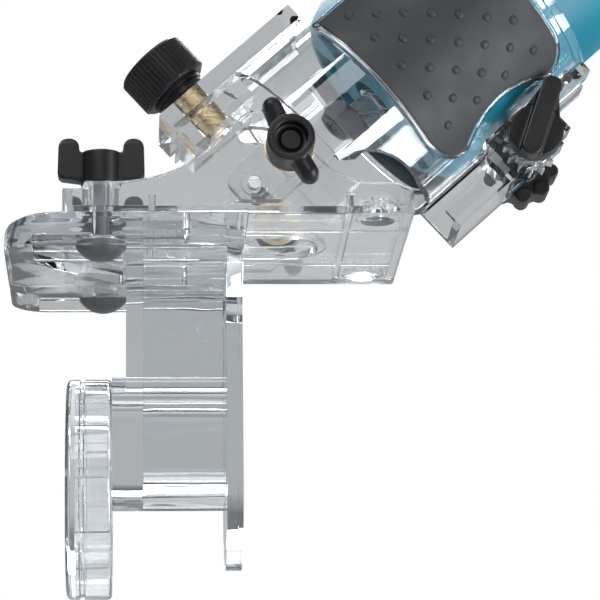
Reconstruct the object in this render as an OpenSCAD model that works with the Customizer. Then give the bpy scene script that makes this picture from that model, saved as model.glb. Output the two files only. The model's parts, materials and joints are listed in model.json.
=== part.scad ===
// Trim router on a clear tilt base, with a clear edge guide below.
// X runs along the base towards the raised end of the motor, Y across the base, Z up.
// The origin is on the sole plane, under the tilt pivot, midway between the two cheeks.

/* [Tilt base] */
// Length of the base from the pivot to its left end
base_left = 60; // [58:1:66]
// Length of the base from the pivot to its right end
base_right = 50; // [48:1:60]
// Depth of the base across both cheeks
base_depth = 90; // [90:1:94]
// Height of the low rim round the base
rim_height = 8; // [7:0.5:9]
// Thickness of the sole
sole_thick = 3; // [2.5:0.5:4]
// Height of the tilt pivot above the sole plane
pivot_height = 10; // [9.8:0.1:10.4]

/* [Tilt] */
// Tilt of the motor from upright, as stored
tilt_angle = 48; // [0:0.5:48]
// Distance from the pivot to the tilt locking studs
stud_reach = 15.6; // [15.3:0.1:16]

/* [Motor] */
// Outer radius of the motor barrel
barrel_r = 36; // [35.5:0.1:36]
// Distance from the pivot to the top of the motor
motor_top = 190; // [188:1:200]
// Width across flats of the collet nut
nut_flats = 17; // [15:1:19]
// Radius of the cutter shank that the collet holds
shank_r = 3; // [2.5:0.25:3.25]

/* [Holder] */
// Height of the top of the clear holder tube above the pivot, along the motor
tube_end = 115.5; // [112:0.5:118]

/* [Edge guide] */
// Depth of the fence below the sole plane
fence_drop = 105; // [100:1:112]
// Radius of the round end shield of the guide
shield_r = 35; // [32:1:38]

/* [Hidden] */
$fn = 96;
half_depth = base_depth / 2;
wall = 3;
cheek = 4;
slack = 0.05;
axis_shift = 2.2;

// tilt base
shoulder = 10.3;
cheek_top = 33.8;
sweep_left_r = 46.5;
sweep_right_r = 20;
crown_r = 8;
crown_x = 1.4;
pin_r = 2.1;
stud_r = 2.5;
slot_half = 2.7;
bolt_x = -48;
bolt_y = 34;
bolt_r = 2.5;
bolt_boss_top = 11.4;
screw_x = 39;
screw_y = 35;
screw_hole_r = 2.25;
opening_right = 22;
opening_left = -24;
opening_half = 14;
seat_relief = 0.5;
seat_edge = -2;

// holder
pad_low = 54.3;
pad_top = 108.2;
ear_in = 36.6;
ear_out = 40.8;
tube_start = 27;
tube_front = 46.5;
tube_r = 38.5;
bore_r = barrel_r + slack;
split_half = 3.2;
lug_half = 14;
lug_out = 51.5;
pinion_t = 85;
tooth_pitch = 3.927;
pinion_teeth = 13;
pinion_pitch_r = tooth_pitch * pinion_teeth / 360 * 57.29578;
rack_line = barrel_r + 1.6;
pinion_x = rack_line + pinion_pitch_r;
adjust_r = 3;
rack_start = 68;
rack_end = 112;
rail_half = 17;
rail_face = -40.3;
rail_slot_out = -34.6;
rail_slot_in = -32.2;
clamp_t = 12;
insert_r = 5.2;
rail_in = -25;
rail_start = -1.5;
channel_end = 72;
stud_shift = 1.3;

// motor
nut_start = 37.9;
nut_length = 11;
nut_turn = 11.3;
nose_start = 57.5;
nose_round = 7;
cap_start = motor_top - 20;
cap_screw_y = 25.5;
journal_r = 6;
screw_nose_r = 6;
collet_r = 4.1;
front_bearing_t = 64;
rear_bearing_t = cap_start - 10;
core_start = 98;
core_end = 134;

// guide
guide_left = -78.3;
guide_face = -3.5;
guide_top = 0.4;
guide_floor = -6.5;
guide_rim = -9.8;
leg_left = -40.2;
arm_left = -44.6;
arm_top = -46;
arm_bottom = -84;
shield_z = -79;
shield_left = -59;
fence_inner = -8.6;
fence_half = 26;

clear_tint = [0.86, 0.89, 0.92, 0.45];
black_tint = [0.10, 0.10, 0.11];
steel_tint = [0.72, 0.73, 0.75];
teal_tint = [0.00, 0.48, 0.55];

// ---------- helpers ----------

// A box between two opposite corners
module box(low, high) {
    translate(low) cube(high - low);
}

// Points on an arc in the plane, from angle a to angle b
function arc(cx, cy, r, a, b, steps = 16) =
    [for (i = [0:steps]) [cx + r * cos(a + (b - a) * i / steps), cy + r * sin(a + (b - a) * i / steps)]];

// A rectangle with round corners
function round_box(x0, y0, x1, y1, r) = concat(
    arc(x0 + r, y0 + r, r, 180, 270, 6), arc(x1 - r, y0 + r, r, 270, 360, 6),
    arc(x1 - r, y1 - r, r, 0, 90, 6), arc(x0 + r, y1 - r, r, 90, 180, 6));

// An outline in X and Z, extruded across Y
module plate_xz(y0, y1) {
    translate([0, y1, 0]) rotate([90, 0, 0]) linear_extrude(y1 - y0) children();
}

// An outline in Y and Z, extruded along X
module plate_yz(x0, x1) {
    translate([x0, 0, 0]) rotate([90, 0, 90]) linear_extrude(x1 - x0) children();
}

module cylinder_y(r, y0, y1) {
    translate([0, y0, 0]) rotate([-90, 0, 0]) cylinder(r = r, h = y1 - y0);
}

module cylinder_x(r, x0, x1) {
    translate([x0, 0, 0]) rotate([0, 90, 0]) cylinder(r = r, h = x1 - x0);
}

module ring(r_out, r_in, z0, z1) {
    difference() {
        translate([0, 0, z0]) cylinder(r = r_out, h = z1 - z0);
        translate([0, 0, z0 - 1]) cylinder(r = r_in, h = z1 - z0 + 2);
    }
}

// The near side, at negative Y, and its mirror image
module both_sides() {
    children();
    mirror([0, 1, 0]) children();
}

// The motor's own frame: Z along the motor axis, X towards the clamp side
module motor_frame() {
    translate([0, 0, pivot_height]) rotate([0, tilt_angle, 0]) translate([-axis_shift, 0, 0]) children();
}

// ---------- tilt base ----------

// Outline of a cheek: a shoulder, two hollow sweeps and a round crown
function cheek_outline() = concat(
    [[-base_left, 0], [-base_left, rim_height], [-base_left + 6, rim_height], [-base_left + 7, shoulder]],
    arc(-43.6, shoulder + sweep_left_r, sweep_left_r, -90, -40),
    arc(crown_x, cheek_top - crown_r, crown_r, 140, 45),
    arc(36.8, shoulder + sweep_right_r, sweep_right_r, -135, -90),
    [[base_right - 5, shoulder]],
    [[base_right, rim_height], [base_right, 0]]);

// Outline of a slot along the path of a locking stud, about the pivot
function slot_outline(a, b) = concat(
    arc(0, 0, stud_reach + slot_half, a, b, 24),
    arc(stud_reach * cos(b), stud_reach * sin(b), slot_half, b + 15, b + 165, 10),
    arc(0, 0, stud_reach - slot_half, b, a, 24),
    arc(stud_reach * cos(a), stud_reach * sin(a), slot_half, a + 195, a + 345, 10));

module stud_slot() {
    translate([0, 0, pivot_height]) plate_xz(-half_depth - 1, -half_depth + cheek + 1)
        polygon(slot_outline(44.5, 99));
}

module base_ribs() {
    rib_top = rim_height - 1.5;
    both_sides() box([-base_left + 1, -22, 0], [base_right - 1, -20, rib_top]);
    for (x = [-32, 30]) box([x - 1, -half_depth + 1, 0], [x + 1, half_depth - 1, rib_top]);
}

module base_plate() {
    color(clear_tint) difference() {
        union() {
            box([-base_left, -half_depth, 0], [base_right, half_depth, sole_thick]);
            difference() {
                box([-base_left, -half_depth, 0], [base_right, half_depth, rim_height]);
                box([-base_left + wall, -half_depth + wall, 1], [base_right - wall, half_depth - wall, rim_height + 1]);
            }
            base_ribs();
            both_sides() {
                plate_xz(-half_depth, -half_depth + cheek) polygon(cheek_outline());
                translate([bolt_x, -bolt_y, 0]) cylinder(r = 6, h = bolt_boss_top);
                translate([screw_x, -screw_y, 0]) cylinder(r = 7, h = rim_height - 2);
                translate([0, 0, pivot_height]) cylinder_y(4.5, -half_depth - 0.6, -half_depth + 1);
            }
            box([opening_left - 2.5, -opening_half - 2.5, 0], [opening_right - opening_half, opening_half + 2.5, rim_height - 3]);
            translate([opening_right - opening_half, 0, 0]) cylinder(r = opening_half + 2.5, h = rim_height - 3);
        }
        // seat for the guide, set back from the sole
        box([-base_left - 1, -half_depth - 1, -1], [seat_edge, half_depth + 1, seat_relief]);
        // opening for the cutter
        box([opening_left, -opening_half, -1], [opening_right - opening_half, opening_half, rim_height + 1]);
        translate([opening_right - opening_half, 0, -1]) cylinder(r = opening_half, h = rim_height + 2);
        both_sides() {
            translate([bolt_x, -bolt_y, -1]) cylinder(r = bolt_r + 0.1, h = bolt_boss_top + 2);
            translate([screw_x, -screw_y, -1]) cylinder(r = screw_hole_r, h = rim_height + 2);
            translate([screw_x, -screw_y, -0.5]) cylinder(r1 = 6, r2 = 2, h = 4);
            translate([0, 0, pivot_height]) cylinder_y(pin_r, -half_depth - 1, -half_depth + cheek + 1);
            stud_slot();
        }
    }
}

module pivot_pins() {
    color(steel_tint) both_sides() translate([0, 0, pivot_height])
        cylinder_y(pin_r, -half_depth - 0.3, -ear_in - 0.3);
}

// ---------- guide fastenings ----------

module carriage_bolts() {
    dome = 4.5;
    head_r = 8;
    dome_r = (head_r * head_r + dome * dome) / (2 * dome);
    dome_angle = asin(head_r / dome_r);
    head_top = guide_floor - 0.8;
    bolt_top = bolt_boss_top + 8.5;
    color(black_tint) both_sides() translate([bolt_x, -bolt_y, 0])
        rotate_extrude() polygon(concat(
            arc(0, head_top - 1 - dome + dome_r, dome_r, -90, -90 + dome_angle, 8),
            [[head_r, head_top], [bolt_r, head_top], [bolt_r, bolt_top], [0, bolt_top]]));
}

module bolt_washers() {
    color(steel_tint) both_sides() translate([bolt_x, -bolt_y, 0])
        ring(6.5, bolt_r + 0.1, guide_floor - 0.8, guide_floor);
}

// Outline of one wing of a wing nut, out to the given reach
function wing_outline(reach, hub_h, wing_h) = concat(
    [[0, hub_h - 0.6], [0, 0.4]],
    arc(reach - 2, 4, 2, -80, 0, 6),
    arc(reach - 3.5, wing_h - 3.3, 3.3, 0, 180, 12),
    [[reach - 6.8, hub_h + 0.6], [reach - 7.6, hub_h - 0.4]]);

// A wing nut: a round hub with two raised wings, standing on z = 0
module wing_nut(reach, hub_r, hub_h, wing_h, thread_r) {
    wing_half = 2.8;
    difference() {
        union() {
            cylinder(r = hub_r, h = hub_h);
            for (side = [0, 1]) mirror([side, 0, 0]) intersection() {
                plate_xz(-wing_half, wing_half) polygon(wing_outline(reach, hub_h, wing_h));
                plate_yz(-1, reach + 1) polygon(round_box(-wing_half, 0.2, wing_half, wing_h + 0.4, 2));
            }
        }
        translate([0, 0, -1]) cylinder(r = thread_r, h = hub_h);
    }
}

module guide_knob() {
    translate([bolt_x, -bolt_y, bolt_boss_top + 0.05])
        wing_nut(13.7, 6.4, 10.8, 15.5, bolt_r + 0.05);
}

module guide_knob_near() {
    color(black_tint) guide_knob();
}

module guide_knob_far() {
    color(black_tint) mirror([0, 1, 0]) guide_knob();
}

// ---------- motor holder ----------

// Outline of a holder ear about the pivot, cut flat where it comes down to the sole at full tilt
function ear_outline() = concat(
    [[-8.2, tube_start + 8], [-8.2, -1.5]],
    arc(-4.2, -2, 4, 180, 270, 8),
    [[1.2, -6], [9.2, 3.2], [9.2, tube_start + 8]]);

// Section of an ear in Y and Z: flat beside the pivot, then tapering into the tube
ear_section = [[-ear_out, -8], [-ear_out, stud_reach + 4], [-tube_r, tube_start + 7],
    [-ear_in, tube_start + 7], [-ear_in, -8]];

// Outline of the wrench window: it flares from the ear out to the front rim of the tube
function window_outline() = concat(
    [[axis_shift + 9.2, -20], [axis_shift + 9.2, 16]],
    arc(33, 24.5, 20.5, 195, 90),
    [[36, tube_front], [60, tube_front], [60, -20]]);

module holder_ears() {
    both_sides() translate([axis_shift, 0, 0]) intersection() {
        plate_xz(-ear_out, -ear_in) polygon(ear_outline());
        plate_yz(-10, 10) polygon(ear_section);
    }
}

// The rail for accessories, with a slot open at its lower end
module accessory_rail() {
    difference() {
        union() {
            box([rail_face, -rail_half, rail_start], [rail_slot_in + 0.5, rail_half, tube_front + 8.5]);
            box([rail_slot_in, -rail_half, rail_start + 2], [rail_in, rail_half, tube_start + 10]);
        }
        box([rail_slot_out, -rail_half - 1, rail_start - 1], [rail_slot_in, rail_half + 1, tube_front + 2]);
    }
}

// Two clamping blocks either side of the split, standing on a hollow channel that runs to the front rim
module clamp_lug() {
    both_sides() box([barrel_r - 3, -lug_half, channel_end], [lug_out, -split_half, pinion_t + 11]);
    box([lug_out - 3, -lug_half, tube_front], [lug_out, lug_half, channel_end + 1]);
    box([barrel_r - 3, lug_half - 2.5, tube_front], [lug_out, lug_half, channel_end + 1]);
    box([lug_out - 7, -lug_half, tube_front], [lug_out, -lug_half + 2.5, channel_end + 1]);
    both_sides() box([barrel_r - 3, -lug_half, pinion_t + 10], [barrel_r + 5.5, -split_half, tube_end - 1]);
}

module motor_holder() {
    rim = 1;
    color(clear_tint) motor_frame() difference() {
        union() {
            difference() {
                union() {
                    translate([0, 0, tube_start]) cylinder(r = tube_r, h = tube_end - tube_start);
                    translate([0, 0, tube_end - 3]) cylinder(r = tube_r + rim, h = 3);
                }
                plate_xz(-tube_r - 4, tube_r + 4) polygon(window_outline());
            }
            holder_ears();
            accessory_rail();
            clamp_lug();
        }
        // bore for the motor
        translate([0, 0, tube_start - 1]) cylinder(r = bore_r, h = tube_end - tube_start + 2);
        // split for clamping
        box([barrel_r - 5, -split_half, tube_front - 6], [lug_out - 3, split_half, tube_end + 1]);
        box([lug_out - 4, -split_half, channel_end], [lug_out + 1, split_half, tube_end + 1]);
        // bores for the adjusting shaft
        translate([pinion_x, 0, pinion_t]) cylinder_y(adjust_r + slack, -lug_half - 1, lug_half + 1);
        // bores for the pivot pins and seats for the locking studs
        translate([axis_shift, 0, 0]) cylinder_y(pin_r + slack, -ear_out - 1, ear_out + 1);
        translate([stud_shift, 0, stud_reach]) cylinder_y(stud_r, -ear_out - 1, ear_out + 1);
        // seat for the threaded insert and way for the accessory screw
        translate([0, 0, clamp_t]) cylinder_x(insert_r, rail_face - 1, rail_slot_out + 1);
        translate([0, 0, clamp_t]) cylinder_x(insert_r, rail_slot_in - 1, -24);
    }
}

// Outline of a grip pad, seen along Y in the motor's frame: two lobes with a shallow waist between them
low_lobe = [26.5, pad_low + 8];
top_lobe = [27, pad_top - 7];
waist = [66, 82.4];
waist_r = norm(waist - low_lobe) - 8;
low_turn = atan2(waist.y - low_lobe.y, waist.x - low_lobe.x);
top_turn = atan2(top_lobe.y - waist.y, waist.x - top_lobe.x);
function grip_outline() = concat(
    [[-26, pad_top], [-26, pad_low]],
    arc(low_lobe.x, low_lobe.y, 8, -90, low_turn),
    arc(waist.x, waist.y, waist_r, 180 + low_turn, 180 - top_turn, 20),
    arc(top_lobe.x, top_lobe.y, 7, -top_turn, 90));

module grip_pads() {
    color(black_tint) motor_frame() both_sides() intersection() {
        ring(tube_r + 2.2, tube_r + 0.02, tube_front, tube_end - 4);
        plate_xz(-tube_r - 5, -10) polygon(grip_outline());
    }
}

module tilt_studs() {
    color(steel_tint) motor_frame() both_sides() translate([stud_shift, 0, stud_reach])
        cylinder_y(stud_r, -half_depth - 7, -ear_in + 0.3);
}

module knob_washers() {
    color([0.80, 0.62, 0.45]) motor_frame() both_sides() translate([stud_shift, 0, stud_reach])
        difference() {
            cylinder_y(8, -half_depth - 1.2, -half_depth - 0.2);
            cylinder_y(stud_r, -half_depth - 2, -half_depth);
        }
}

// Tilt locking knob on the near side: a deep hub and two rounded wings
module tilt_knob() {
    hub_r = 7.5;
    depth = 11.5;
    wing_turn = 14;
    motor_frame() translate([stud_shift, -half_depth - 1.25, stud_reach]) rotate([90, wing_turn, 0]) difference() {
        union() {
            cylinder(r = hub_r, h = depth);
            for (side = [-1, 1]) hull() {
                translate([side * 5, 0, 4]) sphere(r = 3.6, $fn = 28);
                translate([side * 12.2, 0, 6]) sphere(r = 3.1, $fn = 28);
                translate([side * 12.2, 0, 8.6]) sphere(r = 2.9, $fn = 28);
                translate([side * 6, 0, 8]) sphere(r = 2.8, $fn = 28);
            }
        }
        translate([0, 0, -1]) cylinder(r = stud_r + slack, h = depth - 4);
        translate([0, 0, depth - 4]) difference() {
            cylinder(r = 5.2, h = 6);
            translate([0, 0, -1]) cylinder(r = 3.4, h = 1.8);
        }
    }
}

module tilt_knob_near() {
    color(black_tint) tilt_knob();
}

module tilt_knob_far() {
    color(black_tint) mirror([0, 1, 0]) tilt_knob();
}

// ---------- accessory clamp ----------

module threaded_insert() {
    color([0.75, 0.58, 0.30]) motor_frame() translate([0, 0, clamp_t]) difference() {
        union() {
            cylinder_x(insert_r, rail_face, rail_slot_out);
            cylinder_x(insert_r, rail_slot_in, rail_in - 1.5);
        }
        cylinder_x(3.05, rail_face - 1, -20);
    }
}

module accessory_knob() {
    flutes = 48;
    knob_r = 12.3;
    knob_in = rail_face - 6.2;
    knob_length = 13.5;
    // Half profile from the outer face in to the stepped neck
    profile = [[0, 1.2], [8.5, 1.2], [9.3, 0], [knob_r - 1, 0], [knob_r, 1], [knob_r, knob_length - 1.2],
        [knob_r - 1.4, knob_length], [9.2, knob_length], [9.2, knob_length + 1.4], [8.2, knob_length + 1.6],
        [8.2, knob_length + 2.4], [8.8, knob_length + 2.6], [8.8, knob_length + 3.6],
        [7.6, knob_length + 3.8], [7.6, knob_length + 4.6], [0, knob_length + 4.6]];
    color(black_tint) motor_frame() translate([knob_in - knob_length, 0, clamp_t]) difference() {
        rotate([0, 90, 0]) rotate_extrude() polygon(profile);
        for (i = [0:flutes - 1]) rotate([i * 360 / flutes, 0, 0])
            translate([0, knob_r + 0.15, 0]) cylinder_x(0.5, -1, knob_length + 1);
        cylinder_x(3, 3, knob_length + 6);
    }
}

module accessory_screw() {
    color([0.16, 0.16, 0.17]) motor_frame() translate([0, 0, clamp_t])
        cylinder_x(3, rail_face - 16.7, rail_in - 2.5);
}

// ---------- depth adjustment and clamp ----------

// A pinion tooth: a flat-topped wedge pointing along +X, from inside the root circle
module pinion_tooth() {
    tip = pinion_pitch_r + 1;
    polygon([[2.5, -1], [pinion_pitch_r - 1, -0.95], [pinion_pitch_r, -0.68], [tip, -0.3],
        [tip, 0.3], [pinion_pitch_r, 0.68], [pinion_pitch_r - 1, 0.95], [2.5, 1]]);
}

module adjust_shaft() {
    color(steel_tint) motor_frame() translate([pinion_x, 0, pinion_t]) union() {
        cylinder_y(adjust_r, -lug_half - 9, lug_half + 8);
        plate_xz(-split_half + 0.3, split_half - 0.3) union() {
            circle(r = pinion_pitch_r - 1.35);
            for (i = [0:pinion_teeth - 1]) rotate([0, 0, 180 + i * 360 / pinion_teeth]) pinion_tooth();
        }
    }
}

module adjust_knob() {
    lobes = 9;
    disc_in = 20.6;
    disc_out = 31;
    color(black_tint) motor_frame() translate([pinion_x, 0, pinion_t]) difference() {
        union() {
            cylinder_y(5, lug_half + 0.3, disc_in + 1);
            cylinder_y(10.6, disc_in + 0.4, disc_out - 0.4);
            for (i = [0:lobes - 1]) rotate([0, i * 360 / lobes, 0])
                translate([9.8, 0, 0]) cylinder_y(2.6, disc_in, disc_out);
            cylinder_y(5.5, disc_out - 1, disc_out + 1);
        }
        cylinder_y(adjust_r, lug_half, lug_half + 8);
    }
}

module clamp_washer() {
    color(steel_tint) motor_frame() translate([pinion_x, 0, pinion_t]) difference() {
        cylinder_y(7.5, -lug_half - 1, -lug_half);
        cylinder_y(adjust_r + slack, -lug_half - 2, -lug_half + 1);
    }
}

// Clamping nut: a disc with a raised bar and a tab that the thumb turns
module clamp_nut() {
    bar_turn = -29;
    color(black_tint) motor_frame() translate([pinion_x, 0, pinion_t]) rotate([0, bar_turn, 0]) difference() {
        union() {
            cylinder_y(8.8, -lug_half - 7.5, -lug_half - 1.1);
            hull() {
                translate([0, 0, 4]) cylinder_y(6.5, -lug_half - 6.5, -lug_half - 1.5);
                translate([0, 0, 15]) cylinder_y(3, -lug_half - 6, -lug_half - 2.5);
            }
            hull() {
                translate([0, 0, -6.5]) cylinder_y(3.3, -lug_half - 12, -lug_half - 6);
                translate([0, 0, 14.6]) cylinder_y(3.3, -lug_half - 12, -lug_half - 6.8);
            }
        }
        cylinder_y(adjust_r + slack, -lug_half - 9.1, -lug_half);
    }
}

// A rack tooth in X and Z, centred on z = 0
module rack_tooth() {
    polygon([[rack_line - 1.5, -1.25], [rack_line, -0.78], [rack_line + 1, -0.4],
        [rack_line + 1, 0.4], [rack_line, 0.78], [rack_line - 1.5, 1.25]]);
}

module depth_rack() {
    first = -4;
    last = 6;
    color([0.14, 0.14, 0.15]) motor_frame() union() {
        box([barrel_r - 1.2, -2.4, rack_start], [rack_line - 1.3, 2.4, rack_end]);
        plate_xz(-2.4, 2.4) for (i = [first:last])
            translate([0, pinion_t + (i + 0.5) * tooth_pitch]) rack_tooth();
    }
}

// ---------- motor ----------

module motor_housing() {
    inner_r = barrel_r - 3;
    vents = 8;
    color(teal_tint) motor_frame() difference() {
        union() {
            rotate_extrude() polygon(concat(
                [[9, nose_start + 3], [9, nose_start]],
                arc(barrel_r - nose_round, nose_start + nose_round, nose_round, -90, 0, 10),
                [[barrel_r, cap_start], [inner_r, cap_start]],
                arc(barrel_r - nose_round, nose_start + nose_round, nose_round - 3, 0, -90, 10)));
            ring(16.5, 14, nose_start + 2, front_bearing_t + 8);
        }
        for (i = [0:vents - 1]) rotate([0, 0, (i + 0.5) * 360 / vents])
            box([18.5, -4.6, nose_start - 1], [28.5, 4.6, nose_start + 4]);
        box([barrel_r - 1.25, -2.45, rack_start - 0.1], [barrel_r + 2, 2.45, rack_end + 0.1]);
        both_sides() translate([0, 0, rear_bearing_t - 8]) cylinder_y(6.05, -barrel_r - 1, -inner_r + 4);
    }
}

module top_cap() {
    inner_r = barrel_r - 3.5;
    color(black_tint) motor_frame() difference() {
        rotate_extrude() polygon([[0, cap_start + 17], [inner_r - 4, cap_start + 17], [inner_r, cap_start + 13],
            [inner_r, cap_start], [barrel_r, cap_start], [barrel_r, cap_start + 13],
            [barrel_r - 2, cap_start + 17], [barrel_r - 7, motor_top], [0, motor_top]]);
        translate([-18, 0, cap_start + 10]) cylinder(r = 6.5, h = 20);
        box([8.9, -6.1, cap_start + 10], [27.1, 6.1, motor_top + 1]);
        both_sides() translate([0, -cap_screw_y, cap_start]) cylinder(r = 1.5, h = 30);
        // slots that let cooling air in
        for (turn = [0, 180], i = [-4:4]) rotate([0, 0, turn + 90 + i * 9])
            box([inner_r - 2, -1.1, cap_start + 3], [barrel_r + 1, 1.1, cap_start + 11]);
    }
}

module cap_screws() {
    color(steel_tint) motor_frame() both_sides() translate([0, -cap_screw_y, 0]) difference() {
        union() {
            translate([0, 0, rear_bearing_t + 5]) cylinder(r = 1.5, h = motor_top - rear_bearing_t - 4.5);
            translate([0, 0, motor_top]) cylinder(r = 2.7, h = 1.6);
        }
        box([-2, -0.35, motor_top + 0.9], [2, 0.35, motor_top + 2]);
        box([-0.35, -2, motor_top + 0.9], [0.35, 2, motor_top + 2]);
    }
}

module front_bearing() {
    color(steel_tint) motor_frame() ring(14, journal_r + slack, front_bearing_t, front_bearing_t + 8);
}

module rear_bearing() {
    color(steel_tint) motor_frame() ring(9, journal_r - 2 + slack, rear_bearing_t, rear_bearing_t + 6);
}

module bearing_sleeve() {
    color([0.2, 0.2, 0.2]) motor_frame() ring(10.5, 9, rear_bearing_t, rear_bearing_t + 6);
}

module bearing_plate() {
    color([0.3, 0.3, 0.32]) motor_frame() union() {
        ring(13, 10.5, rear_bearing_t - 1, rear_bearing_t + 6);
        difference() {
            ring(barrel_r - 3, 12.5, rear_bearing_t + 2, rear_bearing_t + 5);
            for (a = [0, 90, 180, 270]) rotate([0, 0, a + 45])
                translate([22, 0, rear_bearing_t]) cylinder(r = 6, h = 9);
        }
    }
}

module fan_baffle() {
    color(black_tint) motor_frame() ring(barrel_r - 3, 22, 88, 90);
}

module stator_core() {
    color([0.45, 0.46, 0.48]) motor_frame() difference() {
        ring(barrel_r - 3, 16.8, core_start, core_end);
        both_sides() box([-14, -29, core_start - 1], [14, -18, core_end + 1]);
    }
}

module field_coils() {
    color([0.70, 0.38, 0.18]) motor_frame() both_sides() difference() {
        box([-13.5, -28.5, core_start - 5], [13.5, -20, core_end + 5]);
        box([-6, -30, core_start + 1], [6, -18.5, core_end - 1]);
    }
}

module brush_holders() {
    color([0.75, 0.58, 0.30]) motor_frame() both_sides() difference() {
        box([-4, -barrel_r + 3.2, rear_bearing_t - 12], [4, -13, rear_bearing_t - 4]);
        box([-3, -barrel_r, rear_bearing_t - 11], [3, -11, rear_bearing_t - 5]);
    }
}

module carbon_brushes() {
    color([0.15, 0.15, 0.16]) motor_frame() both_sides() difference() {
        box([-2.9, -24, rear_bearing_t - 10.9], [2.9, -9, rear_bearing_t - 5.1]);
        translate([0, 0, rear_bearing_t - 12]) cylinder(r = 11.3, h = 8);
    }
}

module brush_springs() {
    color(steel_tint) motor_frame() both_sides() translate([0, 0, rear_bearing_t - 8]) difference() {
        cylinder_y(2.4, -barrel_r + 3.4, -24);
        cylinder_y(1.7, -barrel_r + 3, -23);
    }
}

module brush_caps() {
    color(black_tint) motor_frame() both_sides() translate([0, 0, rear_bearing_t - 8]) difference() {
        cylinder_y(6, -barrel_r - 0.4, -barrel_r + 3);
        box([-4, -barrel_r - 1, -0.6], [4, -barrel_r + 0.6, 0.6]);
    }
}

module switch_body() {
    color([0.25, 0.25, 0.27]) motor_frame()
        box([10, -5.5, cap_start - 1], [26, 5.5, cap_start + 9.5]);
}

module switch_rocker() {
    color([0.05, 0.05, 0.05]) motor_frame() translate([18, 0, motor_top - 1.8]) difference() {
        cylinder_y(8.6, -5.8, 5.8);
        box([-9, -6, -9], [9, 6, -6.2]);
        translate([0, 0, 13.5]) cylinder_y(9.5, -6, 6);
    }
}

module terminal_block() {
    color([0.85, 0.85, 0.80]) motor_frame() difference() {
        box([-12, 12, cap_start - 2], [2, 20, cap_start + 6]);
        for (x = [-8, -2]) translate([x, 11, cap_start + 2]) rotate([-90, 0, 0]) cylinder(r = 1.5, h = 10);
    }
}

module cord_gland() {
    color(black_tint) motor_frame() translate([-18, 0, 0]) difference() {
        union() {
            translate([0, 0, cap_start + 12]) cylinder(r = 6.45, h = motor_top - cap_start - 11);
            translate([0, 0, motor_top]) cylinder(r = 8.5, h = 4);
        }
        translate([0, 0, cap_start + 11]) cylinder(r = 3.6, h = 40);
    }
}

// ---------- rotor ----------

module spindle() {
    color(steel_tint) motor_frame() difference() {
        union() {
            translate([0, 0, nut_start + 3]) cylinder(r = screw_nose_r, h = nut_length - 2.6);
            // square section for the spanner, in line with the nut
            rotate([0, 0, nut_turn]) box([-4.8, -4.8, nut_start + nut_length + 0.1], [4.8, 4.8, nose_start]);
            translate([0, 0, nose_start - 0.7]) cylinder(r = 6.2, h = 1.6);
            translate([0, 0, nose_start + 0.5]) cylinder(r = journal_r, h = core_end + 7.5 - nose_start);
            translate([0, 0, core_end + 7]) cylinder(r = journal_r - 2, h = rear_bearing_t - core_end);
        }
        translate([0, 0, nut_start + 2]) cylinder(r = collet_r, h = 21.2);
    }
}

module collet() {
    color([0.62, 0.63, 0.65]) motor_frame() difference() {
        union() {
            translate([0, 0, nut_start + 2.5]) cylinder(r = collet_r, h = 18.7);
            translate([0, 0, nut_start + 0.5]) cylinder(r = collet_r + 0.2, h = 2.4);
        }
        translate([0, 0, nut_start - 1]) cylinder(r = shank_r, h = 30);
    }
}

// Hexagonal nut with a steep chamfer at each end
module collet_nut() {
    corner_r = nut_flats / 2 / cos(30);
    color([0.20, 0.21, 0.22]) motor_frame() translate([0, 0, nut_start]) difference() {
        intersection() {
            rotate([0, 0, nut_turn]) cylinder(r = corner_r, h = nut_length, $fn = 6);
            rotate_extrude() polygon([[0, 0], [nut_flats / 2 - 0.4, 0], [corner_r + 0.2, 2.6],
                [corner_r + 0.2, nut_length - 2.2], [nut_flats / 2 - 0.3, nut_length], [0, nut_length]]);
        }
        translate([0, 0, -1]) cylinder(r = 4.4, h = nut_length + 2);
        translate([0, 0, 2.9]) cylinder(r = screw_nose_r + slack, h = nut_length);
    }
}

module armature_core() {
    color([0.45, 0.46, 0.48]) motor_frame() ring(16, journal_r, core_start, core_end);
}

module armature_winding() {
    color([0.70, 0.38, 0.18]) motor_frame() {
        ring(14, journal_r, core_start - 5, core_start);
        ring(14, journal_r, core_end, core_end + 8);
    }
}

module commutator() {
    color([0.75, 0.45, 0.25]) motor_frame() ring(11, journal_r - 2, rear_bearing_t - 13, rear_bearing_t - 3);
}

module fan_spacer() {
    color(steel_tint) motor_frame() ring(9, journal_r, front_bearing_t + 8, front_bearing_t + 11);
}

module cooling_fan() {
    blades = 12;
    fan_t = front_bearing_t + 11;
    color([0.20, 0.20, 0.20]) motor_frame() union() {
        ring(30, journal_r, fan_t + 8, fan_t + 10);
        ring(9, journal_r, fan_t, fan_t + 9);
        for (i = [0:blades - 1]) rotate([0, 0, i * 360 / blades])
            box([18, -0.7, fan_t], [29, 0.7, fan_t + 9]);
    }
}

// ---------- edge guide ----------

// Outline of the fence across the base: a wide head on a round-ended blade
function fence_outline() = concat(
    [[-42, guide_top], [-42, guide_rim], [-fence_half, -22]],
    arc(0, fence_half - fence_drop, fence_half, 180, 360),
    [[fence_half, -22], [42, guide_rim], [42, guide_top]]);

// Side view of the tray's left end, rounded over from the top
function tray_outline() = concat(
    [[guide_face, guide_rim], [guide_face, guide_top]],
    arc(-60, guide_top - 52, 52, 90, 109),
    arc(guide_left + 3, -5.2, 3, 120, 180, 6),
    [[guide_left, guide_rim]]);

module guide_tray() {
    corner = 12;
    bottom = guide_rim - 1;
    intersection() {
        plate_xz(-half_depth, half_depth) polygon(tray_outline());
        union() {
            box([guide_left + corner, -half_depth, bottom], [guide_face, half_depth, 1]);
            box([guide_left, -half_depth + corner, bottom], [0, half_depth - corner, 1]);
            both_sides() translate([guide_left + corner, -half_depth + corner, bottom]) cylinder(r = corner, h = 12);
        }
    }
}

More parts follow.
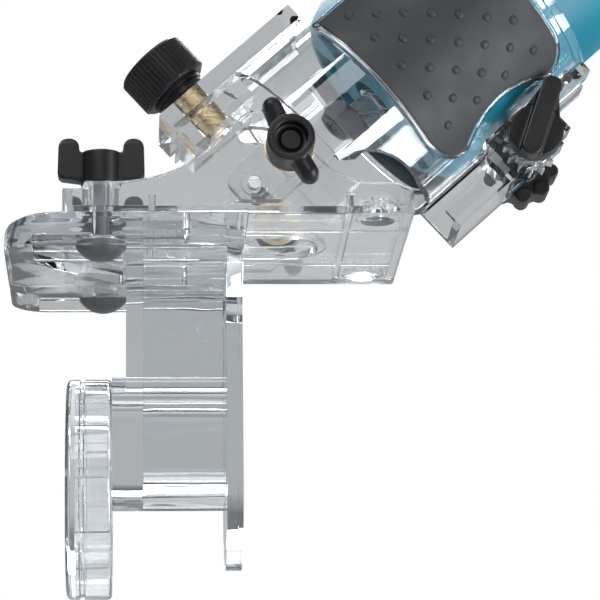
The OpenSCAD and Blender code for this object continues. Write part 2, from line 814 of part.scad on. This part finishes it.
// Hollows under the tray: one for the bolt heads along each long edge, and a triangular one by the leg
module tray_hollows() {
    low = guide_rim - 1;
    both_sides() box([guide_left + 9, -half_depth + 2.4, low], [fence_inner, -24.5, guide_floor]);
    translate([0, 0, low]) linear_extrude(guide_floor - low)
        polygon([[guide_left + 6, -22], [leg_left - 1, -22], [leg_left - 1, 7.5]]);
}

module guide_plate() {
    travel = 25;
    color(clear_tint) difference() {
        union() {
            difference() {
                guide_tray();
                tray_hollows();
            }
            plate_yz(fence_inner, guide_face) polygon(fence_outline());
            box([leg_left, -16, arm_top - 2], [fence_inner, 16, guide_floor]);
            plate_yz(arm_left, fence_inner) polygon(round_box(-16, arm_bottom, 16, arm_top - 4, 5));
            plate_yz(arm_left, fence_inner) polygon(round_box(-18, arm_top - 5, 18, arm_top, 2));
            box([leg_left, -17, guide_rim - 4], [fence_inner, 17, guide_rim]);
        }
        // chute behind the fence, round in its lower corners
        plate_yz(leg_left + 5.5, fence_inner) polygon(round_box(-13, arm_bottom + 5, 13, 6, 4.5));
        // way through the fence for the cutter
        box([fence_inner - 1, -11, -22], [0, 11, 1]);
        // slots for the bolts
        both_sides() {
            box([bolt_x, -bolt_y - 2.8, guide_floor - 1], [bolt_x + travel, -bolt_y + 2.8, 1]);
            for (x = [bolt_x, bolt_x + travel])
                translate([x, -bolt_y, guide_floor - 1]) cylinder(r = 2.8, h = 9);
        }
    }
}

module guide_shield() {
    depth = arm_left - shield_left;
    inner_r = shield_r - 3.2;
    // Half profile: a closed face, a round rim with a groove, and an inner wall that meets the arm
    profile = concat(
        [[0, 0]], arc(shield_r - 2, 2, 2, -90, 0, 6),
        [[shield_r, 4.2], [shield_r - 0.8, 4.6], [shield_r - 0.8, 5.6], [shield_r, 6]],
        arc(shield_r - 1.5, depth - 1.5, 1.5, 0, 90, 6),
        [[inner_r, depth], [inner_r, 3], [24, 3], [24, depth], [21, depth], [21, 3], [0, 3]]);
    color(clear_tint) translate([0, 0, shield_z]) union() {
        translate([shield_left, 0, 0]) rotate([0, 90, 0]) rotate_extrude() polygon(profile);
        for (a = [0:45:315]) rotate([a, 0, 0]) box([shield_left + 1, 23, -1], [arm_left - 1, shield_r - 2, 1]);
    }
}

// ---------- the nodes ----------

base_plate();
pivot_pins();
carriage_bolts();
guide_knob_near();
guide_knob_far();
motor_holder();
grip_pads();
tilt_studs();
knob_washers();
tilt_knob_near();
tilt_knob_far();
threaded_insert();
accessory_knob();
accessory_screw();
adjust_shaft();
adjust_knob();
clamp_nut();
clamp_washer();
motor_housing();
top_cap();
cap_screws();
depth_rack();
front_bearing();
rear_bearing();
bearing_sleeve();
bearing_plate();
fan_baffle();
stator_core();
field_coils();
brush_holders();
carbon_brushes();
brush_springs();
brush_caps();
switch_body();
switch_rocker();
terminal_block();
cord_gland();
spindle();
collet();
collet_nut();
armature_core();
armature_winding();
commutator();
fan_spacer();
cooling_fan();
guide_plate();
guide_shield();
bolt_washers();
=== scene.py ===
"""Looks of the trim router: materials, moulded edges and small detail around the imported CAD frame."""

import json
import math

import bmesh
import bpy
from mathutils import Matrix, Vector


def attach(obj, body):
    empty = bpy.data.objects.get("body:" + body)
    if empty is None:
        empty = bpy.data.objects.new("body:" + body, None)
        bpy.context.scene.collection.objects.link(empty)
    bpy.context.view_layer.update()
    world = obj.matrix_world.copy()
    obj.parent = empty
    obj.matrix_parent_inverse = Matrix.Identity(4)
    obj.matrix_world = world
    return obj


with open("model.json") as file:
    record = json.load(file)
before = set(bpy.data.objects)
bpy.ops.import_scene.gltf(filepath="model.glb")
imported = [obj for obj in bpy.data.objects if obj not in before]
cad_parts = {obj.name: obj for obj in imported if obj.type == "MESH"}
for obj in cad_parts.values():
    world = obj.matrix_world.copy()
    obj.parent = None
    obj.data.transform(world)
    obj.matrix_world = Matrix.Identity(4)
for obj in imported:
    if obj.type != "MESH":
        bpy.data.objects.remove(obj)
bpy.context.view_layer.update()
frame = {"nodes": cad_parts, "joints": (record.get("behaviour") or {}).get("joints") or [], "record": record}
nodes = frame["nodes"]
joints = {joint["name"]: joint for joint in frame["joints"]}
MM = 0.001
SIDES = {"near": -1, "far": 1}


def axes_at(place, x_axis, y_axis, z_axis):
    """The matrix of a frame that stands at a place with the given axes."""
    return Matrix.Translation(place) @ Matrix((x_axis, y_axis, z_axis)).transposed().to_4x4()


def add_object(name, data):
    piece = bpy.data.objects.new(name, data)
    bpy.context.scene.collection.objects.link(piece)
    return piece


# ---------- camera ----------

# Place in metres, angles in degrees, lens and sensor in millimetres
CAMERA_PLACE = Vector((-0.03695, -1.01184, -0.26932))
CAMERA_YAW = 3.0
CAMERA_PITCH = 13.998
CAMERA_ROLL = -0.7145
CAMERA_LENS = 193.2
SENSOR_WIDTH = 36.0


def make_camera():
    yaw, pitch, roll = (math.radians(a) for a in (CAMERA_YAW, CAMERA_PITCH, CAMERA_ROLL))
    forward = Vector((math.sin(yaw) * math.cos(pitch), math.cos(yaw) * math.cos(pitch), math.sin(pitch)))
    level = Vector((math.cos(yaw), -math.sin(yaw), 0))
    up = level.cross(forward)
    right = level * math.cos(roll) + up * math.sin(roll)
    up = up * math.cos(roll) - level * math.sin(roll)
    data = bpy.data.cameras.new("camera")
    data.lens = CAMERA_LENS
    data.sensor_width = SENSOR_WIDTH
    data.clip_start = 0.01
    data.clip_end = 20
    camera = add_object("camera", data)
    camera.matrix_world = axes_at(CAMERA_PLACE, right, up, -forward)
    bpy.context.scene.camera = camera


# ---------- stage and light ----------

# The floor lies below the camera, which looks slightly up
FLOOR_Z = -0.34
FLOOR_HALF = 4.0


def make_floor():
    mesh = bpy.data.meshes.new("floor")
    corners = [(-1, -1), (1, -1), (1, 1), (-1, 1)]
    mesh.from_pydata([(x * FLOOR_HALF, y * FLOOR_HALF, FLOOR_Z) for x, y in corners], [], [(0, 1, 2, 3)])
    floor = add_object("floor", mesh)
    floor.data.materials.append(plain_material("floor_pale", (0.62, 0.63, 0.64), 0.7))


# Grey of the studio by height, from straight down (0) to straight up (1)
SKY_STOPS = [(0.0, 0.62), (0.42, 0.50), (0.54, 0.56), (0.66, 0.50), (0.73, 0.16), (0.83, 0.22),
             (0.90, 1.5), (1.0, 1.7)]
# What that grey is multiplied by, from left to right, and from the camera's side to the far side
SIDE_STOPS = [(0.0, 1.35), (0.05, 1.25), (0.12, 0.30), (0.22, 0.45), (0.32, 1.0), (0.68, 1.0), (0.78, 0.45),
              (0.88, 0.30), (0.95, 1.25), (1.0, 1.35)]
DEPTH_STOPS = [(0.0, 0.45), (0.35, 0.60), (0.55, 0.90), (1.0, 1.0)]
SKY_TINT = (0.96, 0.985, 1.0)


def grey_ramp(tree, source, stops, tint=(1, 1, 1)):
    """Greys along one part of a direction, which goes from -1 to 1."""
    spread = tree.nodes.new("ShaderNodeMapRange")
    spread.inputs["From Min"].default_value = -1
    ramp = tree.nodes.new("ShaderNodeValToRGB")
    ramp.color_ramp.elements[0].position = stops[0][0]
    ramp.color_ramp.elements[1].position = stops[-1][0]
    for position, _ in stops[1:-1]:
        ramp.color_ramp.elements.new(position)
    for element, (_, grey) in zip(ramp.color_ramp.elements, stops):
        element.color = (*(grey * part for part in tint), 1)
    tree.links.new(source, spread.inputs["Value"])
    tree.links.new(spread.outputs["Result"], ramp.inputs["Fac"])
    return ramp.outputs["Color"]


def product_of(tree, first, second):
    product = tree.nodes.new("ShaderNodeMix")
    product.data_type = "RGBA"
    product.blend_type = "MULTIPLY"
    product.inputs["Factor"].default_value = 1
    tree.links.new(first, product.inputs["A"])
    tree.links.new(second, product.inputs["B"])
    return product.outputs["Result"]


def make_world():
    """A studio that the camera sees as plain white, and every other ray as grey and dark panels."""
    world = bpy.data.worlds.new("studio")
    bpy.context.scene.world = world
    world.use_nodes = True
    tree = world.node_tree
    tree.nodes.clear()
    direction = tree.nodes.new("ShaderNodeTexCoord")
    split = tree.nodes.new("ShaderNodeSeparateXYZ")
    tree.links.new(direction.outputs["Generated"], split.inputs[0])
    by_height = grey_ramp(tree, split.outputs["Z"], SKY_STOPS, SKY_TINT)
    by_side = grey_ramp(tree, split.outputs["X"], SIDE_STOPS)
    by_depth = grey_ramp(tree, split.outputs["Y"], DEPTH_STOPS)
    surround = tree.nodes.new("ShaderNodeBackground")
    across = product_of(tree, by_height, by_side)
    tree.links.new(product_of(tree, across, by_depth), surround.inputs["Color"])
    white = tree.nodes.new("ShaderNodeBackground")
    white.inputs["Color"].default_value = (1, 1, 1, 1)
    seen = tree.nodes.new("ShaderNodeLightPath")
    mix = tree.nodes.new("ShaderNodeMixShader")
    out = tree.nodes.new("ShaderNodeOutputWorld")
    tree.links.new(seen.outputs["Is Camera Ray"], mix.inputs["Fac"])
    tree.links.new(surround.outputs[0], mix.inputs[1])
    tree.links.new(white.outputs[0], mix.inputs[2])
    tree.links.new(mix.outputs[0], out.inputs["Surface"])


def area_lamp(name, size, power):
    """A rectangular lamp that the camera doesn't see, in metres and watts. The caller places it."""
    data = bpy.data.lights.new(name, "AREA")
    data.shape = "RECTANGLE"
    data.size, data.size_y = size
    data.energy = power
    lamp = add_object(name, data)
    lamp.visible_camera = False
    return lamp


def add_light(name, place, aim, size, power):
    lamp = area_lamp(name, size, power)
    lamp.location = place
    lamp.rotation_euler = (Vector(aim) - Vector(place)).to_track_quat("-Z", "Y").to_euler()


# What the lamps point at: a place near the tilt pivot, and the near side of the holder by the clamp
MAIN_AIM = (0.02, 0, 0.03)
CLAMP_AIM = (0.08, -0.03, 0.04)


def make_lights():
    add_light("key", (-0.55, -0.75, 0.75), MAIN_AIM, (0.5, 0.35), 11)
    add_light("fill", (0.9, -0.6, 0.1), MAIN_AIM, (0.3, 0.8), 5)
    add_light("back", (0.1, 0.9, 0.7), MAIN_AIM, (0.8, 0.3), 8)
    add_light("low", (0.49, -0.24, -0.25), CLAMP_AIM, (0.35, 0.2), 3)


# ---------- materials ----------

# Scales of the noise behind colour, gloss, haze and moulding waves, and the depth of fine grain in metres
COLOUR_SCALE = 45
GLOSS_SCALE = 130
HAZE_SCALE = 30
WAVE_SCALE = 26
GRAIN_DEPTH = 0.00006
# Part of the noise's range over which a ramp runs
NOISE_LOW = 0.3
NOISE_HIGH = 0.7
CLEAR_IOR = 1.52
# Colour that light takes on along a path through clear plastic, and that of lamps' light straight through it
LONG_PATH_COLOUR = (0.64, 0.69, 0.73, 1)
LAMP_PATH_COLOUR = (0.93, 0.94, 0.95, 1)


def shader(name):
    material = bpy.data.materials.new(name)
    material.use_nodes = True
    return material, material.node_tree, material.node_tree.nodes["Principled BSDF"]


def plain_material(name, colour, roughness):
    material, _, surface = shader(name)
    surface.inputs["Base Color"].default_value = (*colour, 1)
    surface.inputs["Roughness"].default_value = roughness
    return material


def noise_node(tree, scale, detail=3.0, stretch=(1, 1, 1)):
    coordinates = tree.nodes.new("ShaderNodeTexCoord")
    mapping = tree.nodes.new("ShaderNodeMapping")
    mapping.inputs["Scale"].default_value = stretch
    texture = tree.nodes.new("ShaderNodeTexNoise")
    texture.inputs["Scale"].default_value = scale
    texture.inputs["Detail"].default_value = detail
    tree.links.new(coordinates.outputs["Object"], mapping.inputs["Vector"])
    tree.links.new(mapping.outputs["Vector"], texture.inputs["Vector"])
    return texture


def vary_colour(tree, surface, texture, low, high):
    ramp = tree.nodes.new("ShaderNodeValToRGB")
    ramp.color_ramp.elements[0].position = NOISE_LOW
    ramp.color_ramp.elements[0].color = (*low, 1)
    ramp.color_ramp.elements[1].position = NOISE_HIGH
    ramp.color_ramp.elements[1].color = (*high, 1)
    tree.links.new(texture.outputs["Fac"], ramp.inputs["Fac"])
    tree.links.new(ramp.outputs["Color"], surface.inputs["Base Color"])


def vary_roughness(tree, surface, texture, low, high):
    spread = tree.nodes.new("ShaderNodeMapRange")
    spread.inputs["From Min"].default_value = NOISE_LOW
    spread.inputs["From Max"].default_value = NOISE_HIGH
    spread.inputs["To Min"].default_value = low
    spread.inputs["To Max"].default_value = high
    tree.links.new(texture.outputs["Fac"], spread.inputs["Value"])
    tree.links.new(spread.outputs["Result"], surface.inputs["Roughness"])


def add_bump(tree, surface, texture, strength, depth):
    bump = tree.nodes.new("ShaderNodeBump")
    bump.inputs["Strength"].default_value = strength
    bump.inputs["Distance"].default_value = depth
    tree.links.new(texture.outputs["Fac"], bump.inputs["Height"])
    tree.links.new(bump.outputs["Normal"], surface.inputs["Normal"])


def moulded(name, low, high, rough, grain, bump, shine=0.5, stretch=(1, 1, 1), metal=0.0):
    """Colour and gloss that drift over the piece, with a fine surface grain."""
    material, tree, surface = shader(name)
    surface.inputs["Metallic"].default_value = metal
    surface.inputs["Specular IOR Level"].default_value = shine
    vary_colour(tree, surface, noise_node(tree, COLOUR_SCALE), low, high)
    vary_roughness(tree, surface, noise_node(tree, GLOSS_SCALE, 4.0, stretch), *rough)
    add_bump(tree, surface, noise_node(tree, grain, 2.0, stretch), bump, GRAIN_DEPTH)
    return material


def clear_plastic(name, tint, rough, milk, depth, wave=0.06):
    """Clear polycarbonate. Milk is the share that isn't clear, depth is how fast long paths turn grey,
    and wave is the height of the moulding waves in millimetres."""
    material, tree, surface = shader(name)
    surface.inputs["Base Color"].default_value = (*tint, 1)
    surface.inputs["Transmission Weight"].default_value = 1 - milk
    surface.inputs["IOR"].default_value = CLEAR_IOR
    vary_roughness(tree, surface, noise_node(tree, HAZE_SCALE, 4.0), *rough)
    add_bump(tree, surface, noise_node(tree, WAVE_SCALE, 1.5), 1.0, wave * MM)
    body = tree.nodes.new("ShaderNodeVolumeAbsorption")
    body.inputs["Color"].default_value = LONG_PATH_COLOUR
    body.inputs["Density"].default_value = depth
    out = tree.nodes["Material Output"]
    tree.links.new(body.outputs[0], out.inputs["Volume"])
    # lamps shine straight through to what is inside
    passing = tree.nodes.new("ShaderNodeBsdfTransparent")
    passing.inputs["Color"].default_value = LAMP_PATH_COLOUR
    path = tree.nodes.new("ShaderNodeLightPath")
    choice = tree.nodes.new("ShaderNodeMixShader")
    tree.links.new(path.outputs["Is Shadow Ray"], choice.inputs["Fac"])
    tree.links.new(surface.outputs[0], choice.inputs[1])
    tree.links.new(passing.outputs[0], choice.inputs[2])
    tree.links.new(choice.outputs[0], out.inputs["Surface"])
    return material


# Noise squeezed along Z, for turned metal
TURNED = (1, 1, 12)

# A moulded one has its darkest and lightest colour, its range of roughness, the scale of its grain, the
# strength of that grain and, where it isn't the usual 0.5, its shine
MATERIALS = {
    "clear_plastic": clear_plastic("clear_plastic", (0.97, 0.98, 0.99), (0.01, 0.05), 0.0, 8),
    "black_plastic": moulded("black_plastic", (0.003, 0.003, 0.004), (0.006, 0.006, 0.007),
                             (0.30, 0.44), 2600, 0.25, 0.22),
    "black_rubber": moulded("black_rubber", (0.020, 0.021, 0.023), (0.028, 0.029, 0.032),
                            (0.48, 0.62), 3200, 0.5, 0.2),
    "teal_plastic": moulded("teal_plastic", (0.000, 0.110, 0.165), (0.000, 0.130, 0.190),
                            (0.34, 0.46), 2800, 0.2, 0.25),
    "steel": moulded("steel", (0.50, 0.50, 0.51), (0.68, 0.68, 0.68),
                     (0.16, 0.32), 900, 0.3, stretch=TURNED, metal=1.0),
    "plated_steel": moulded("plated_steel", (0.62, 0.48, 0.33), (0.78, 0.66, 0.50),
                            (0.25, 0.4), 900, 0.2, metal=1.0),
    "dark_steel": moulded("dark_steel", (0.035, 0.037, 0.040), (0.075, 0.078, 0.084),
                          (0.36, 0.5), 1500, 0.6, metal=0.6),
    "brass": moulded("brass", (0.42, 0.30, 0.16), (0.66, 0.52, 0.32),
                     (0.2, 0.38), 800, 0.4, stretch=TURNED, metal=1.0),
    "iron_core": moulded("iron_core", (0.20, 0.20, 0.21), (0.32, 0.32, 0.33),
                         (0.4, 0.55), 700, 0.4, metal=0.8),
    "copper": moulded("copper", (0.45, 0.17, 0.06), (0.70, 0.32, 0.14), (0.3, 0.45), 900, 0.5, metal=0.9),
    "carbon": moulded("carbon", (0.03, 0.03, 0.032), (0.06, 0.06, 0.062), (0.5, 0.65), 1200, 0.4),
    "ceramic": moulded("ceramic", (0.70, 0.69, 0.64), (0.80, 0.79, 0.74), (0.25, 0.35), 900, 0.1),
}

# Clear nodes with a look of their own
CLEAR_PARTS = {
    "base_plate": clear_plastic("clear_base", (0.94, 0.95, 0.96), (0.02, 0.06), 0.015, 8, 0.3),
    "guide_plate": clear_plastic("clear_guide", (0.91, 0.925, 0.94), (0.005, 0.03), 0.0, 8, 2.2),
    "guide_shield": clear_plastic("clear_shield", (0.95, 0.96, 0.97), (0.01, 0.05), 0.015, 6, 0.5),
}


def give_materials():
    for entry in frame["record"]["subparts"]:
        node = nodes[entry["node"]]
        node.data.materials.clear()
        node.data.materials.append(CLEAR_PARTS.get(entry["node"], MATERIALS[entry["material_slot"]]))


# ---------- moulded edges ----------

# Widths in millimetres
EDGE_WIDTH = {"base_plate": 0.45, "motor_holder": 0.5, "guide_plate": 0.7, "guide_shield": 0.3,
              "grip_pads": 0.6, "motor_housing": 0.3, "top_cap": 0.5, "collet_nut": 0.5,
              "accessory_knob": 0.25, "spindle": 0.25}
DEFAULT_EDGE = 0.2
# Nodes whose whole form is softened, and the grid that this is done on, in millimetres
SOFT_FORMS = ("tilt_knob_near", "tilt_knob_far", "guide_knob_near", "guide_knob_far", "clamp_nut",
              "adjust_knob")
SOFT_VOXEL = 0.3
# Metres
WELD_DISTANCE = 0.000002
# Degrees below which faces are one flat, and above which an edge is rounded or stays a crease
FLAT_ANGLE = 0.5
ROUND_ANGLE = 32
CREASE_ANGLE = 36


def drop_stored_normals(mesh):
    stored = mesh.attributes.get("custom_normal")
    if stored:
        mesh.attributes.remove(stored)
    mesh.polygons.foreach_set("use_smooth", [True] * len(mesh.polygons))


def weld_points(node):
    weld = node.modifiers.new("weld", "WELD")
    weld.merge_threshold = WELD_DISTANCE


def round_edges(node, width_mm):
    weld_points(node)
    flat = node.modifiers.new("join_flats", "DECIMATE")
    flat.decimate_type = "DISSOLVE"
    flat.angle_limit = math.radians(FLAT_ANGLE)
    bevel = node.modifiers.new("round_edges", "BEVEL")
    bevel.width = width_mm * MM
    bevel.segments = 2
    bevel.limit_method = "ANGLE"
    bevel.angle_limit = math.radians(ROUND_ANGLE)
    bevel.harden_normals = True
    bevel.use_clamp_overlap = True
    crease = node.modifiers.new("keep_creases", "EDGE_SPLIT")
    crease.split_angle = math.radians(CREASE_ANGLE)
    even = node.modifiers.new("even_normals", "WEIGHTED_NORMAL")
    even.keep_sharp = True


def soften_form(node):
    weld_points(node)
    skin = node.modifiers.new("one_skin", "REMESH")
    skin.mode = "VOXEL"
    skin.voxel_size = SOFT_VOXEL * MM
    skin.use_smooth_shade = True
    relax = node.modifiers.new("relax", "SMOOTH")
    relax.factor = 0.5
    relax.iterations = 5


def finish_cad_nodes():
    for name, node in nodes.items():
        drop_stored_normals(node.data)
        if name in SOFT_FORMS:
            soften_form(node)
        else:
            round_edges(node, EDGE_WIDTH.get(name, DEFAULT_EDGE))


# ---------- the motor's own frame ----------


def motor_matrix():
    """Z along the motor axis and X towards the clamp side, with zero level with the tilt pivot."""
    spin = joints["spindle_spin"]
    axis = Vector(spin["axis"]).normalized()
    pivot = Vector(joints["holder_tilt"]["pos_m"])
    point = Vector(spin["pos_m"])
    origin = point - axis * (point - pivot).dot(axis)
    across = Vector((0, 1, 0)).cross(axis)
    return axes_at(origin, across, (0, 1, 0), axis)


MOTOR = motor_matrix()


# ---------- softboxes mirrored in the holder tube ----------

# The softboxes face this place from a distance, in metres
SHEEN_MIDDLE = Vector((0.03, -0.03, 0.05))
SHEEN_DISTANCE = 1.3
SHEEN_HEIGHT = 0.55
# How much of a softbox's direction points away from the motor axis, and how much along it
SHEEN_OUT = 0.968
SHEEN_UP = 0.25


def add_sheen(name, start, end, glow):
    """A softbox that only glossy faces show. Its edges are angles about the motor axis, from the near side
    to the right."""
    across, depth, axis = (MOTOR.to_3x3().col[i] for i in range(3))
    middle, half = math.radians((start + end) / 2), math.radians((end - start) / 2)
    outward = (across * math.sin(middle) - depth * math.cos(middle)) * SHEEN_OUT + axis * SHEEN_UP
    sideways = axis.cross(outward).normalized()
    width = 2 * SHEEN_DISTANCE * math.tan(half)
    lamp = area_lamp(name, (width, SHEEN_HEIGHT), glow * math.pi * width * SHEEN_HEIGHT)
    place = SHEEN_MIDDLE + outward * SHEEN_DISTANCE
    lamp.matrix_world = axes_at(place, sideways, outward.cross(sideways), outward)
    lamp.visible_diffuse = False
    lamp.visible_transmission = False


def make_sheens():
    add_sheen("sheen_left", -38, -16, 5)
    add_sheen("sheen_right", 25, 57, 22)


# ---------- pieces ----------


def settle(name, mesh, body, slot):
    """Makes a finished mesh a piece that rides on a body and has the material of a slot."""
    data = bpy.data.meshes.new(name)
    mesh.to_mesh(data)
    mesh.free()
    piece = add_object(name, data)
    piece.data.materials.append(MATERIALS[slot])
    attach(piece, body)


# ---------- outline of a grip pad ----------

# Along motor X and up the motor axis: straight left, low and top edges, a round lobe at each right corner,
# and a hollow waist between the two
PAD_RADIUS = 40.7 * MM
PAD_LEFT = -26 * MM
PAD_LOW = 54.3 * MM
PAD_TOP = 108.2 * MM
LOW_LOBE_RADIUS = 8 * MM
TOP_LOBE_RADIUS = 7 * MM
LOW_LOBE = Vector((26.5 * MM, PAD_LOW + LOW_LOBE_RADIUS))
TOP_LOBE = Vector((27 * MM, PAD_TOP - TOP_LOBE_RADIUS))
WAIST = Vector((66, 82.4)) * MM
WAIST_RADIUS = (WAIST - LOW_LOBE).length - LOW_LOBE_RADIUS


def inside_pad(point, margin):
    """Whether a place, as motor X and height, lies on the pad and clear of its edge."""
    if not (PAD_LOW + margin < point.y < PAD_TOP - margin) or point.x < PAD_LEFT + margin:
        return False
    if (point - WAIST).length < WAIST_RADIUS + margin:
        return False
    for lobe, radius, side in ((LOW_LOBE, LOW_LOBE_RADIUS, -1), (TOP_LOBE, TOP_LOBE_RADIUS, 1)):
        beyond = point.x > lobe.x and (point.y - lobe.y) * side > -radius / 2
        if beyond and (point - lobe).length > radius - margin:
            return False
    return True


# ---------- grip bumps ----------

BUMP_PITCH = 8.94 * MM
BUMP_RADIUS = 1.5 * MM
BUMP_RISE = 0.75 * MM
BUMP_SINK = 0.1 * MM
# Where the grid starts, as length round the tube and height, and how far it goes in steps and in degrees
BUMP_START = Vector((-8.55, 74.7)) * MM
BUMP_MARGIN = 2.4 * MM
BUMP_REACH = 10
BUMP_TURN = 75


def bump_places():
    """Angle round the motor and height of each bump, on a diamond grid inside the pad's outline."""
    step = BUMP_PITCH / math.sqrt(2)
    count = range(-BUMP_REACH, BUMP_REACH + 1)
    for i in count:
        for j in count:
            angle = (BUMP_START.x + (i + j) * step) / PAD_RADIUS
            height = BUMP_START.y + (i - j) * step
            spot = Vector((PAD_RADIUS * math.sin(angle), height))
            if abs(angle) <= math.radians(BUMP_TURN) and inside_pad(spot, BUMP_MARGIN):
                yield angle, height


def make_grip_bumps():
    mesh = bmesh.new()
    along = Vector((0, 0, 1))
    squat = Matrix.Diagonal((1, 1, BUMP_RISE / BUMP_RADIUS, 1))
    for side in SIDES.values():
        for angle, height in bump_places():
            outward = Vector((math.sin(angle), side * math.cos(angle), 0))
            centre = outward * (PAD_RADIUS - BUMP_SINK) + along * height
            form = MOTOR @ (axes_at(centre, along.cross(outward), along, outward) @ squat)
            bmesh.ops.create_uvsphere(mesh, u_segments=18, v_segments=10, radius=BUMP_RADIUS, matrix=form)
    for face in mesh.faces:
        face.smooth = True
    settle("grip_bumps", mesh, "holder", "black_rubber")


# ---------- clear bead round each pad ----------

BEAD_RADIUS = 1.0 * MM
BEAD_GAP = 0.1 * MM
# Millimetres that the bead's middle lies below the pad's face, and how much deeper than wide the bead is
BEAD_SINK = 1.5
BEAD_DEPTH = 1.4
BEAD_STEPS = 12
ARC_STEPS = 14
LINE_STEPS = 20


def arc_points(centre, radius, start, end):
    angles = [math.radians(start + (end - start) * i / ARC_STEPS) for i in range(ARC_STEPS + 1)]
    return [centre + radius * Vector((math.cos(a), math.sin(a))) for a in angles]


def pad_edge(grow):
    """The pad's outline as motor X and height, grown outwards."""
    to_low = math.degrees(math.atan2(WAIST.y - LOW_LOBE.y, WAIST.x - LOW_LOBE.x))
    to_top = math.degrees(math.atan2(TOP_LOBE.y - WAIST.y, WAIST.x - TOP_LOBE.x))
    left = PAD_LEFT - grow
    low, top = PAD_LOW - grow, PAD_TOP + grow
    tall = PAD_TOP - PAD_LOW + 2 * grow
    points = [Vector((left, low + tall * i / LINE_STEPS)) for i in range(LINE_STEPS, -1, -1)]
    points += [Vector((left + (LOW_LOBE.x - left) * i / LINE_STEPS, low)) for i in range(1, LINE_STEPS)]
    points += arc_points(LOW_LOBE, LOW_LOBE_RADIUS + grow, -90, to_low)
    points += arc_points(WAIST, WAIST_RADIUS - grow, 180 + to_low, 180 - to_top)[1:-1]
    points += arc_points(TOP_LOBE, TOP_LOBE_RADIUS + grow, -to_top, 90)
    points += [Vector((TOP_LOBE.x + (left - TOP_LOBE.x) * i / LINE_STEPS, top)) for i in range(1, LINE_STEPS)]
    return points


def bead_route(side):
    """Places on the tube round the pad of one side, each with the direction straight out of the tube."""
    route = []
    for point in pad_edge(BEAD_RADIUS + BEAD_GAP):
        turn = math.asin(point.x / PAD_RADIUS)
        place = Vector((point.x, side * PAD_RADIUS * math.cos(turn), point.y))
        route.append((place, Vector((math.sin(turn), side * math.cos(turn), 0))))
    return route


def make_pad_bead(word, side):
    mesh = bmesh.new()
    route = bead_route(side)
    turns = [2 * math.pi * k / BEAD_STEPS for k in range(BEAD_STEPS)]
    loops = []
    for i, (place, outward) in enumerate(route):
        along = (route[(i + 1) % len(route)][0] - route[i - 1][0]).normalized()
        across = along.cross(outward).normalized()
        centre = place - outward * BEAD_SINK * MM
        ring = [across * math.cos(a) + outward * BEAD_DEPTH * math.sin(a) for a in turns]
        loops.append([mesh.verts.new(MOTOR @ (centre + BEAD_RADIUS * offset)) for offset in ring])
    for i, loop in enumerate(loops):
        after = loops[(i + 1) % len(loops)]
        for k in range(BEAD_STEPS):
            beside = (k + 1) % BEAD_STEPS
            mesh.faces.new((loop[k], after[k], after[beside], loop[beside])).smooth = True
    bmesh.ops.recalc_face_normals(mesh, faces=mesh.faces)
    settle(f"pad_bead_{word}", mesh, "holder", "clear_plastic")


# ---------- threads ----------

# Millimetres: the guide bolts' shanks, the heights between which they are threaded, and the thread itself
BOLT_RADIUS = 2.25
THREAD_START = -5.5
THREAD_END = 11
THREAD_PITCH = 0.8
THREAD_DEPTH = 0.3
THREAD_SINK = 0.05
# Half the ridge's width, as a part of the pitch
THREAD_HALF = 0.42
THREAD_STEPS = 20


def make_thread(name, body, slot, matrix):
    """A helical ridge round a shaft that stands along the matrix's Z axis."""
    count = int((THREAD_END - THREAD_START) / THREAD_PITCH * THREAD_STEPS)
    low = BOLT_RADIUS - THREAD_SINK
    half = THREAD_PITCH * THREAD_HALF
    mesh = bmesh.new()
    rings = []
    for i in range(count + 1):
        angle = 2 * math.pi * i / THREAD_STEPS
        z = THREAD_START + (THREAD_END - THREAD_START) * i / count
        fade = min(1.0, i / THREAD_STEPS, (count - i) / THREAD_STEPS)
        profile = [(low, z - half), (low + THREAD_DEPTH * fade, z), (low, z + half)]
        points = [Vector((r * math.cos(angle), r * math.sin(angle), height)) for r, height in profile]
        rings.append([mesh.verts.new(matrix @ (point * MM)) for point in points])
    for ring, after in zip(rings, rings[1:]):
        for k in range(3):
            mesh.faces.new((ring[k], after[k], after[(k + 1) % 3], ring[(k + 1) % 3]))
    mesh.faces.new(rings[0])
    mesh.faces.new(list(reversed(rings[-1])))
    bmesh.ops.recalc_face_normals(mesh, faces=mesh.faces)
    settle(name, mesh, body, slot)


def make_threads():
    for word in SIDES:
        x, y, _ = joints[f"guide_knob_{word}_turn"]["pos_m"]
        make_thread(f"bolt_thread_{word}", "tilt_base", "dark_steel", Matrix.Translation((x, y, 0)))


# ---------- making it all ----------

make_camera()
make_world()
make_lights()
make_sheens()
make_floor()
give_materials()
finish_cad_nodes()
make_grip_bumps()
for word, side in SIDES.items():
    make_pad_bead(word, side)
make_threads()

scene = bpy.context.scene
scene.view_settings.view_transform = "Standard"
scene.cycles.max_bounces = 24
scene.cycles.transmission_bounces = 24
scene.cycles.transparent_max_bounces = 16
